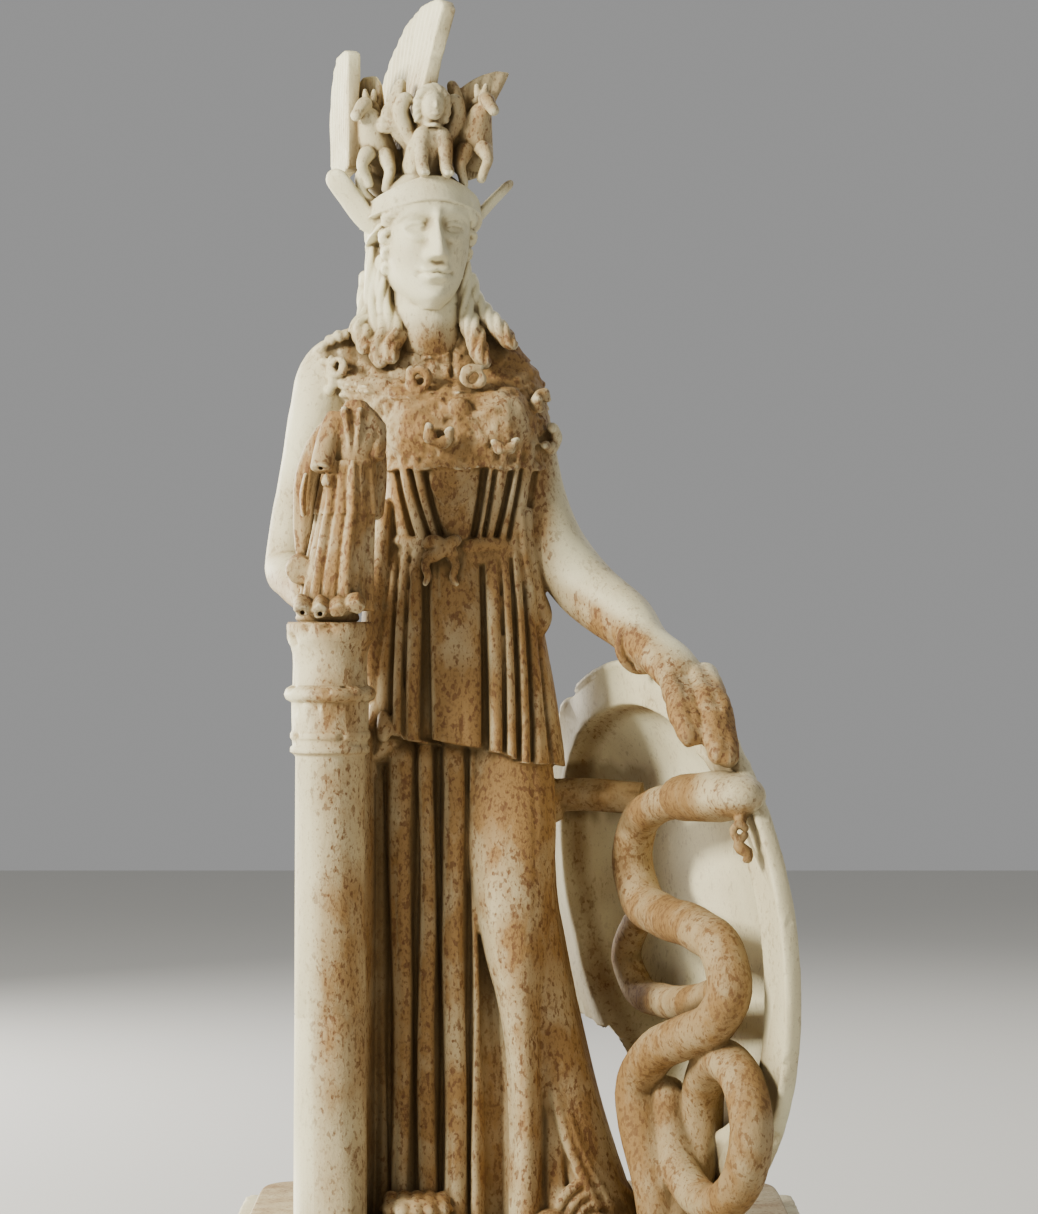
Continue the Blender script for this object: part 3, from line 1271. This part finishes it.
# All these forms are one block, so they are fused into one closed skin. The dense ones are
# remeshed in cubes a little finer than the finest chisel mark on them, then thinned.


def gather(meshes):
    bm = bmesh.new()
    for mesh in meshes:
        bm.from_mesh(mesh)
    return as_mesh(bm)


def finished(obj):
    """Applies the object's modifiers."""
    bpy.context.view_layer.update()
    shown = obj.evaluated_get(bpy.context.evaluated_depsgraph_get())
    mesh = bpy.data.meshes.new_from_object(shown)
    obj.modifiers.clear()
    obj.data = mesh


def as_object(name, mesh, seams=False):
    obj = bpy.data.objects.new(name, mesh)
    bpy.context.scene.collection.objects.link(obj)
    if seams:
        obj.modifiers.new("seams", "WELD").merge_threshold = 0.002
    return obj


def fuse(name, cube, smooth):
    obj = as_object(name, gather(forms[name]), True)
    remesh = obj.modifiers.new("cubes", "REMESH")
    remesh.mode = "VOXEL"
    remesh.voxel_size = cube * 1
    soften = obj.modifiers.new("soften", "SMOOTH")
    soften.factor = 0.5
    soften.iterations = smooth
    finished(obj)
    return obj


def thin(obj, triangles):
    count = sum(len(p.vertices) - 2 for p in obj.data.polygons)
    if count <= triangles:
        return
    fewer = obj.modifiers.new("fewer", "DECIMATE")
    fewer.ratio = triangles / count
    finished(obj)


blocks = {"dress": fuse("dress", 1.15, 1), "head": fuse("head", 0.75, 1), "small": fuse("small", 0.8, 1)}
put_points(blocks["head"].data, cut_lines(mesh_points(blocks["head"].data)))
for name in ("column", "slab"):
    blocks[name] = as_object(name, gather(forms[name]), True)
blocks["snake"] = fuse("snake", 1.3, 1)


def joined(obj, others, operation):
    for other in others:
        boolean = obj.modifiers.new("join", "BOOLEAN")
        boolean.operation = operation
        boolean.solver = "MANIFOLD"
        boolean.object = other
    finished(obj)
    for other in others:
        bpy.data.objects.remove(other)


whole = as_object("whole", forms["shield"][0], True)
joined(whole, [as_object("bite", mesh, True) for mesh in bites], "DIFFERENCE")
forms["shield"] = [whole.data]
bpy.data.objects.remove(whole)
blocks["shield"] = fuse("shield", 1.5, 1)
budgets = {
    "dress": 99000, "head": 56000, "small": 13000, "snake": 8500, "shield": 9500, "column": 5500,
    "slab": 3000,
}
for name, triangles in budgets.items():
    thin(blocks[name], triangles * (1))
statue = blocks.pop("dress")
statue.name = "marble_figure"
joined(statue, list(blocks.values()), "UNION")
# Two finger stumps, the small figure's arm and the broken abacus have holes drilled in them.
holes = [
    rod([(x, -144, z, 1.9), (x + 0.5, -128, z + 2, 1.9)], 12, 8, blunt=0.1)
    for x, z in finger_ends[:2]
]
holes.append(on_hand([(-149, -134, 97, 1.9), (-145, -116, 106, 1.9)], 12, 8, blunt=0.1))
joined(statue, [as_object("hole", mesh, True) for mesh in holes], "DIFFERENCE")
bm = bmesh.new()
bm.from_mesh(statue.data)
bmesh.ops.delete(bm, geom=[v for v in bm.verts if not v.link_faces], context="VERTS")
# The slab's flat top gets points of its own, so that the stain on it doesn't run in streaks.
for reach in (90, 45, 25):
    on_top = [e for e in bm.edges if all(abs(v.co.z - SLAB_TOP) < 0.5 for v in e.verts)]
    bmesh.ops.subdivide_edges(bm, edges=[e for e in on_top if e.calc_length() > reach], cuts=1)
    bmesh.ops.triangulate(bm, faces=[f for f in bm.faces if len(f.verts) > 4])
bm.to_mesh(statue.data)
bm.free()

# Weather has softened the whole surface unevenly, most of all on the collar and the left hand.
marble_mesh = statue.data


def normals_of(mesh):
    normals = np.empty(len(mesh.vertices) * 3)
    mesh.vertices.foreach_get("normal", normals)
    return normals.reshape(-1, 3)


points = mesh_points(marble_mesh)
hand_centre = np.array(rim(54, 6, 6))
worn = 1.2 * fade(592, 604, points[:, 2]) * fade(704, 690, points[:, 2])
worn = 0.4 + worn * fade(60, 40, np.abs(points[:, 0] + 60) - 40)
worn += 2.4 * fade(52, 24, np.linalg.norm(points - hand_centre, axis=1))
worn += 1.3 * fade(44, 24, np.linalg.norm(points - (150, -168, 350), axis=1))
dents = grain(points, 15, 11) + 0.7 * grain(points, 6.5, 12) + 0.5 * grain(points, 3.4, 13)
face_guard = fade(30, 44, np.linalg.norm(points - (HEAD + [9, -34, -8]), axis=1))
on_slab = fade(SLAB_TOP - 1, SLAB_TOP + 3, points[:, 2])
shift = 0.55 * worn * dents * (0.15 + 0.85 * face_guard) * on_slab
points = points + normals_of(marble_mesh) * shift[:, None]
edges = np.empty(len(marble_mesh.edges) * 2, int)
marble_mesh.edges.foreach_get("vertices", edges)
edges = edges.reshape(-1, 2)
ends = np.r_[edges[:, 0], edges[:, 1]]
others = np.r_[edges[:, 1], edges[:, 0]]
degree = np.maximum(np.bincount(ends, minlength=len(points)), 1)


def smoothed(values, rounds):
    for _ in range(rounds):
        sums = [np.bincount(ends, values[others, c], len(points)) for c in range(values.shape[1])]
        values = np.column_stack(sums) / degree[:, None]
    return values


# How deep each place lies is kept on the mesh, so that the stain can gather where rain doesn't
# reach: in the grooves, by its neighbours, and in the hollows, by how much stone shuts it in.
put_points(marble_mesh, points)
normals = normals_of(marble_mesh)
lengths = np.linalg.norm(points[edges[:, 0]] - points[edges[:, 1]], axis=1)
spacing = np.bincount(ends, np.r_[lengths, lengths], len(points)) / degree
spacing = smoothed(spacing[:, None], 3)[:, 0] ** 2 / 4
bend = np.zeros(len(points))
for rounds, share in ((3, 0.4), (14, 0.6)):
    bend += share * ((smoothed(points, rounds) - points) * normals).sum(1) / (rounds * spacing)
bpy.context.view_layer.update()
tree = BVHTree.FromObject(statue, bpy.context.evaluated_depsgraph_get())
RAYS = 11
REACH = 55.0
rays = []
for n in range(RAYS):
    height = 1 - 2 * (n + 0.5) / RAYS
    across = math.sqrt(1 - height**2)
    rays.append(Vector((across * math.cos(2.4 * n), across * math.sin(2.4 * n), height)))
shut = np.zeros(len(points))
for n in range(0, len(points), 1):
    normal = Vector(normals[n])
    start = Vector(points[n]) + normal * 0.7
    total = blocked = 0.0
    for ray in rays:
        facing = ray.dot(normal)
        away = ray if facing > 0 else -ray
        total += abs(facing)
        distance = tree.ray_cast(start, away, REACH)[3]
        if distance is not None:
            blocked += abs(facing) * (1 - distance / REACH)
    shut[n] = blocked / max(total, 1e-6)
shut = smoothed(shut[:, None], 2)[:, 0]
deep = np.clip(0.55 * fade(0.0, 0.08, bend) + 0.95 * fade(0.12, 0.62, shut), 0, 1)
ridge = fade(0.14, 0.42, -bend)

# Where the stone is clean: the head, the bare arms, the shield and the column's near side.
x, y, z = points.T
head_clean = fade(686, 712, z)
right = fade(-128, -140, x) * fade(500, 515, z) * fade(-72, -60, y)
arm = np.maximum(right, fade(18, 34, x) * fade(478, 492, z + 0.6 * (x - 60)))
relative = points - shield_middle
inside = relative @ inwards
reach = np.linalg.norm(relative - inside[:, None] * inwards, axis=1)
lip = bowl_reach(relative @ ahead, relative @ upwards)
bowl = -SHIELD_BOWL * np.sqrt(np.clip(1 - (reach / lip) ** 4, 0, 1))
on_shield = fade(6, 2.5, inside - bowl) * fade(224, 219, reach) * fade(20, 40, z)
shaft = fade(-108, -114, x) * fade(470, 455, z) * fade(-60, -72, y)
head_clean = head_clean * (1 - 0.6 * fade(-60, -46, x) * fade(800, 815, z))
head_clean = head_clean * (1 - 0.4 * fade(810, 822, z) * fade(905, 880, z))
stain = (1 - 0.86 * head_clean) * (1 - 0.7 * arm) * (1 - 0.74 * on_shield)
stain = stain * (1 - shaft * (0.20 + 0.55 * fade(0.0, -0.7, normals[:, 0])))
stain = stain * (1 - 0.33 * fade(0.2, 1.0, -normals[:, 0]) * fade(60, 50, x))
# Where it is browner than its neighbours: the strut, the snake and the foot of the bowl's wall.
strut = fade(28, 36, x) * fade(112, 100, x) * fade(26, 20, np.abs(z - 337)) * fade(-46, -36, y)
snake = fade(66, 76, x) * (1 - on_shield) * fade(372, 362, z) * fade(15, 25, z)
snake_head = fade(124, 140, x) * fade(-126, -142, y) * fade(334, 344, z) * snake
wall = on_shield * peak(reach - lip, -5, 6) * fade(-30, -6, inside)
wall = wall * fade(0.2, 0.0, relative @ ahead / 200)
deep = np.clip(deep + (0.40 - 0.45 * snake_head) * snake + 0.6 * strut + 0.5 * wall, 0, 1)
stain = np.maximum(stain, 0.9 * wall) * (1 - 0.45 * snake_head)
stain = stain * (1 - 0.3 * fade(SLAB_TOP + 2, SLAB_TOP, z))
stain = np.clip(stain + 0.16 * grain(points, 38, 21) + 0.12 * grain(points, 16, 22), 0, 1)
for name, values in (("deep", deep), ("ridge", ridge), ("stain", stain)):
    layer = marble_mesh.attributes.new(name, "FLOAT", "POINT")
    layer.data.foreach_set("value", values.astype(np.float32))

put_points(marble_mesh, points * PART + [0, 0, bed])
marble_mesh.shade_smooth()
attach(statue, "root")
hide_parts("statue")


# The marble: cream where it is clean, ochre and brown where iron has stained it.
class Wire:
    """A shader socket that Python's arithmetic works on. node() adds any other kind of node."""

    def __init__(self, tree, socket):
        self.tree = tree
        self.socket = socket

    def node(self, kind, inputs, output=0, **settings):
        made = self.tree.nodes.new("ShaderNode" + kind)
        for key, value in settings.items():
            setattr(made, key, value)
        for key, value in inputs.items():
            if isinstance(value, Wire):
                self.tree.links.new(value.socket, made.inputs[key])
            else:
                made.inputs[key].default_value = value
        return Wire(self.tree, made.outputs[output])

    def maths(self, operation, a, b):
        return self.node("Math", {0: a, 1: b}, operation=operation)

    def __add__(self, other):
        return self.maths("ADD", self, other)

    def __mul__(self, other):
        return self.maths("MULTIPLY", self, other)

    def __sub__(self, other):
        return self.maths("SUBTRACT", self, other)

    def __rsub__(self, other):
        return self.maths("SUBTRACT", other, self)

    __radd__ = __add__
    __rmul__ = __mul__

    def between(self, low, high):
        spans = {"Value": self, "From Min": low, "From Max": high}
        return self.node("MapRange", spans, interpolation_type="SMOOTHSTEP")

    def noise(self, scale, detail=3.0, roughness=0.55):
        inputs = {"Vector": self, "Scale": scale, "Detail": detail, "Roughness": roughness}
        return self.node("TexNoise", inputs)

    def blend(self, colour, share):
        rgba = (*colour, 1.0) if isinstance(colour, tuple) else colour
        return self.node("Mix", {0: share, 6: self, 7: rgba}, 2, data_type="RGBA")


CREAM = (0.80, 0.755, 0.50)
HONEY = (0.290, 0.166, 0.055)
RUST = (0.145, 0.064, 0.022)
UMBER = (0.085, 0.052, 0.017)


def stone(name):
    material = bpy.data.materials.new(name)
    material.use_nodes = True
    tree = material.node_tree
    shader = tree.nodes["Principled BSDF"]
    coordinates = Wire(tree, tree.nodes.new("ShaderNodeTexCoord").outputs["Object"])

    def attribute(key):
        return coordinates.node("Attribute", {}, 2, attribute_name=key)

    deep, ridge, stain = (attribute(key) for key in ("deep", "ridge", "stain"))
    drawn = coordinates.node(
        "Mapping", {"Vector": coordinates, "Scale": (1, 1, 0.6)}, vector_type="POINT",
    )
    clouds = coordinates.noise(11, 4)
    patches = drawn.noise(42, 4, 0.6)
    flecks = drawn.noise(290, 2, 0.5)
    specks = drawn.noise(560, 2, 0.5)
    fine = coordinates.noise(900, 3, 0.6)
    tint = stain * (0.74 + 0.22 * clouds.between(0.36, 0.62) + 0.20 * patches.between(0.4, 0.6))
    level = 0.615 - 0.30 * (patches - 0.5) - 0.07 * stain
    spots = (flecks - level).between(0.0, 0.08) + 0.6 * (specks - level).between(0.0, 0.08)
    colour = coordinates.node("RGB", {})
    colour.socket.default_value = (*CREAM, 1)
    colour = colour.blend(HONEY, tint * (1.0 - 0.5 * ridge))
    colour = colour.blend(RUST, spots * (0.05 + 0.75 * stain) * (1.0 - 0.5 * ridge))
    colour = colour.blend(HONEY, 0.5 * deep)
    colour = colour.blend(UMBER, 0.85 * (deep * (0.6 + 0.6 * clouds)).between(0.15, 1.1))
    colour = colour.blend((0.84, 0.79, 0.56), 0.25 * ridge)
    colour = colour.blend((0.30, 0.20, 0.10), 0.16 * fine.between(0.50, 0.70))
    rough = 0.50 + 0.18 * stain + 0.14 * flecks + 0.10 * deep
    pits = patches + 0.7 * flecks + 0.35 * specks + 0.2 * fine
    bump = pits * (0.45 + 0.75 * stain) - 0.3 * spots * stain
    relief = {"Strength": 0.5, "Distance": 0.0012, "Height": bump}
    tree.links.new(colour.socket, shader.inputs["Base Color"])
    tree.links.new(rough.socket, shader.inputs["Roughness"])
    tree.links.new(coordinates.node("Bump", relief).socket, shader.inputs["Normal"])
    shader.inputs["Specular IOR Level"].default_value = 0.35
    return material


statue.data.materials.clear()
statue.data.materials.append(stone("marble"))

# The plinth: one block with a plain band and a hollow moulding at its foot and under its top,
# its edges worn round and chipped. The figure's slab rests on it. Its sizes are in millimetres.
half_wide, half_deep = (1000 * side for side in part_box("plinth")[1][:2])
top = 1000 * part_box("plinth")[1][2]


def plinth_profile():
    swing = [0.5 - 0.5 * math.cos(math.pi * k / 9) for k in range(10)]
    rows = [(0, 3), (0.7, 1), (3, 0), (7, 0), (11, 0), (15, 0), (19, 0), (20, 0.7)]
    rows += [(20.6 + 13.4 * k / 9, 1 + 12 * swing[k]) for k in range(10)]
    rows += [(34.4, 14), (36, 14.4), (37, 13.4)]
    rows += [(40 + 3.6 * k, 13) for k in range(8)]
    rows += [(69, 13), (70, 14.4), (71.2, 14)]
    rows += [(71.6 + 12.6 * k / 9, 1 + 12 * (1 - swing[k])) for k in range(10)]
    rows += [(84.8, 0.6), (86, 0), (89, 0), (92, 0), (95, 0), (98, 0), (99.4, 0.8), (100, 2.6)]
    return rows + [(100, 7), (100, 12), (100, 18), (100, 40)]


def plinth_skin(turn, up):
    rows = np.array(plinth_profile(), float)
    here = up * (len(rows) - 1)
    z = np.interp(here, range(len(rows)), rows[:, 0]) * top / 100
    inset = np.interp(here, range(len(rows)), rows[:, 1])
    side = turn * 4
    k = side.astype(int) % 4
    s = 2 * (side - side.astype(int)) - 1
    x = np.choose(k, [s, np.ones_like(s), -s, -np.ones_like(s)]) * (half_wide - inset)
    y = np.choose(k, [-np.ones_like(s), s, np.ones_like(s), -s]) * (half_deep - inset)
    corner = 5.0
    out = [
        np.maximum(np.abs(v) - (half - inset - corner), 0)
        for v, half in ((x, half_wide), (y, half_deep))
    ]
    shrink = np.minimum(1, corner / np.maximum(np.hypot(*out), 1e-6))
    x = np.sign(x) * (np.abs(x) - out[0] * (1 - shrink))
    y = np.sign(y) * (np.abs(y) - out[1] * (1 - shrink))
    # Wear takes a little everywhere and bites into the edges.
    where = np.column_stack([x, y, z])
    lip = np.min([np.abs(z - arris) for arris in (1, 19.5, 85.5, 99)], axis=0)
    edge = np.maximum(fade(5, 0.5, lip), fade(3, 5, np.hypot(*out)))
    chip = edge * np.clip(grain(where, 11, 31) + 0.5 * grain(where, 5, 32) - 0.62, 0, 1) * 9
    take = 0.5 + 0.5 * grain(where, 7, 33) * 0.8 + chip
    side_on = fade(25, 8, inset)
    return x * (1 - side_on * take / half_wide), y * (1 - side_on * take / half_deep), z


plinth = as_object("marble_plinth", skin(480, len(plinth_profile()) + 1, plinth_skin), True)
finished(plinth)
points = mesh_points(plinth.data)
z = points[:, 2] * 100 / top
recess = np.maximum(fade(6, 0, np.abs(z - 36)), fade(6, 0, np.abs(z - 70)))
values = {
    "deep": np.clip(0.7 * recess + 0.5 * fade(9, 0, z), 0, 1),
    "ridge": np.maximum(fade(2.5, 0, np.abs(z - 85)), fade(3, 0, np.abs(z - 99))),
    "stain": np.clip(0.5 + 0.35 * grain(points, 60, 41) + 0.2 * grain(points, 20, 42), 0, 1),
}
for name, value in values.items():
    plinth.data.attributes.new(name, "FLOAT", "POINT").data.foreach_set("value", value.astype(np.float32))
put_points(plinth.data, points * 0.001)
plinth.data.shade_smooth()
plinth.data.materials.append(stone("plinth_marble"))
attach(plinth, "root")
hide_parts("plinth")

# Camera, floor and light. The camera looks level and square at the front from 3.2 m away, and
# PIXEL is the width of one pixel at the figure's own distance.
CAMERA_AWAY = 3.2
CAMERA_HEIGHT = 0.483
SENSOR = 24
PHOTO_HEIGHT = 1214
PIXEL = 0.00077
camera = bpy.data.cameras.new("camera")
camera_object = bpy.data.objects.new("camera", camera)
bpy.context.scene.collection.objects.link(camera_object)
camera_object.location = (0, -CAMERA_AWAY, bed + CAMERA_HEIGHT)
camera_object.rotation_euler = (math.pi / 2, 0, 0)
camera.sensor_fit = "VERTICAL"
camera.sensor_height = SENSOR
camera.lens = SENSOR * CAMERA_AWAY / (PHOTO_HEIGHT * PIXEL)
bpy.context.scene.camera = camera_object

bm = bmesh.new()
bmesh.ops.create_grid(bm, x_segments=1, y_segments=1, size=6)
floor = as_object("floor", as_mesh(bm))
floor_material = bpy.data.materials.new("floor")
floor_material.use_nodes = True
floor_shader = floor_material.node_tree.nodes["Principled BSDF"]
floor_shader.inputs["Base Color"].default_value = (0.62, 0.61, 0.58, 1)
floor_shader.inputs["Roughness"].default_value = 0.9
floor.data.materials.append(floor_material)
for name, place, size, power, colour in (
    ("key", (-2.5, -1.6, 1.8), 0.8, 225, (1.0, 0.98, 0.88)),
    ("fill", (0.9, -3.0, 0.7), 2.4, 15, (1.0, 0.93, 0.80)),
    ("rim", (1.2, 2.4, 2.2), 1.5, 25, (1.0, 0.97, 0.92)),
    ("side", (-2.0, 2.1, 0.9), 1.0, 125, (1.0, 0.97, 0.92)),
):
    light = bpy.data.lights.new(name, "AREA")
    light.size = size
    light.energy = power
    light.color = colour
    lamp = bpy.data.objects.new(name, light)
    lamp.location = place
    lamp.rotation_euler = (Vector((0, 0, 0.6)) - Vector(place)).to_track_quat("-Z", "Y").to_euler()
    bpy.context.scene.collection.objects.link(lamp)
world = bpy.data.worlds.new("world")
world.use_nodes = True
world.node_tree.nodes["Background"].inputs["Color"].default_value = (0.8, 0.8, 0.8, 1)
world.node_tree.nodes["Background"].inputs["Strength"].default_value = 0.4
bpy.context.scene.world = world
